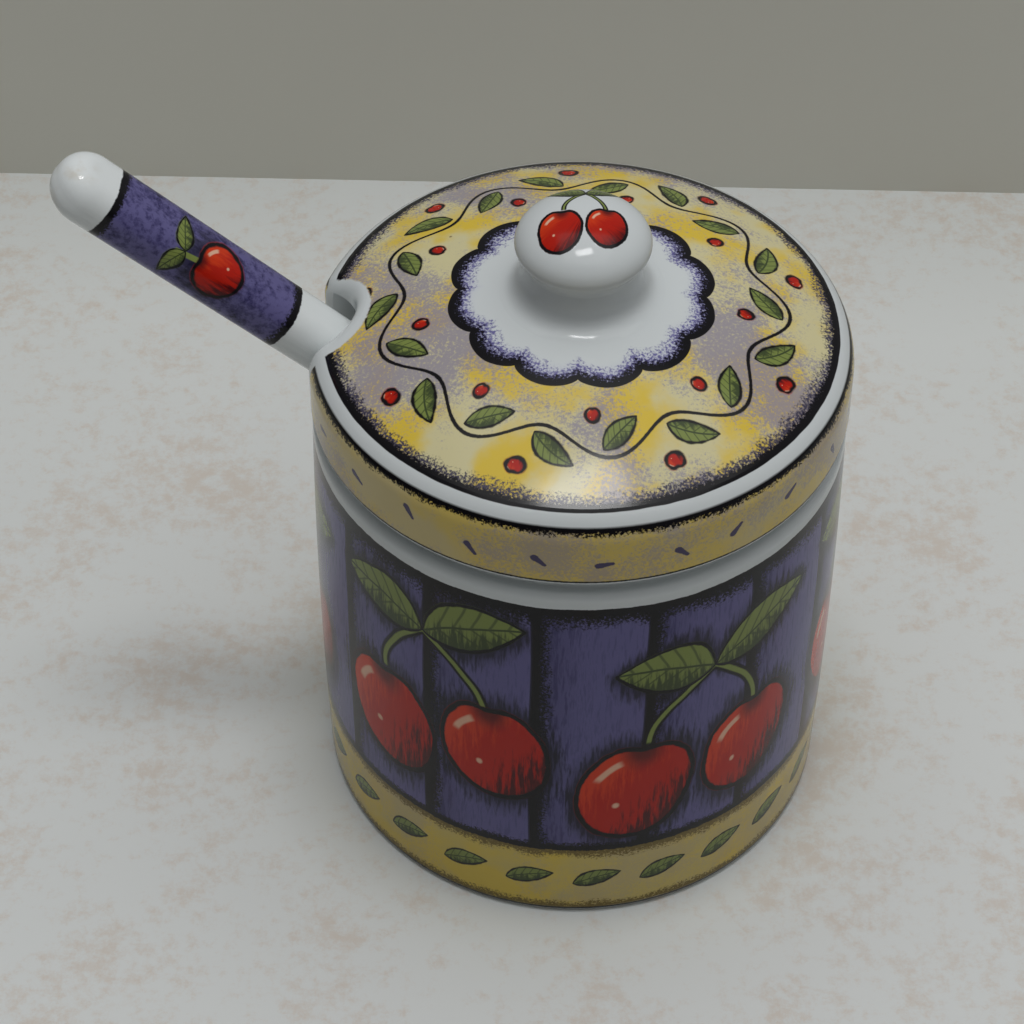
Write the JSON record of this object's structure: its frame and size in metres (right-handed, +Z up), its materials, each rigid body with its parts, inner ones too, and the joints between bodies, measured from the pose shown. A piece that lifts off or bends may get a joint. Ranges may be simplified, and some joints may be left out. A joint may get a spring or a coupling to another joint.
{
  "type": "jam pot",
  "caption": "Glazed pottery jam pot with a domed, knobbed lid and a spoon whose handle leans out through a walled notch in the lid's edge.",
  "frame": {"origin": "middle of the foot ring, on the pot's axis and on the surface that it stands on", "axes": "+Z up along the pot's axis, -X the side that the spoon's handle leans out to, +Y away from the viewer of the picture"},
  "size_m": [0.1194, 0.0844, 0.121],
  "materials": {
    "pot_glaze": "gloss",
    "lid_glaze": "gloss",
    "spoon_glaze": "gloss"
  },
  "bodies": {
    "pot": {"pot": "pot_glaze"},
    "lid": {"lid": "lid_glaze"},
    "spoon": {"spoon": "spoon_glaze"}
  },
  "joints": [
    {"name": "lid_lift", "type": "slide", "parent": "pot", "child": "lid", "axis": [0, 0, 1], "range_m": [0, 0.06]},
    {"name": "spoon_draw", "type": "slide", "parent": "pot", "child": "spoon", "axis": [-0.7554, 0, 0.6553], "range_m": [0, 0.03]}
  ]
}
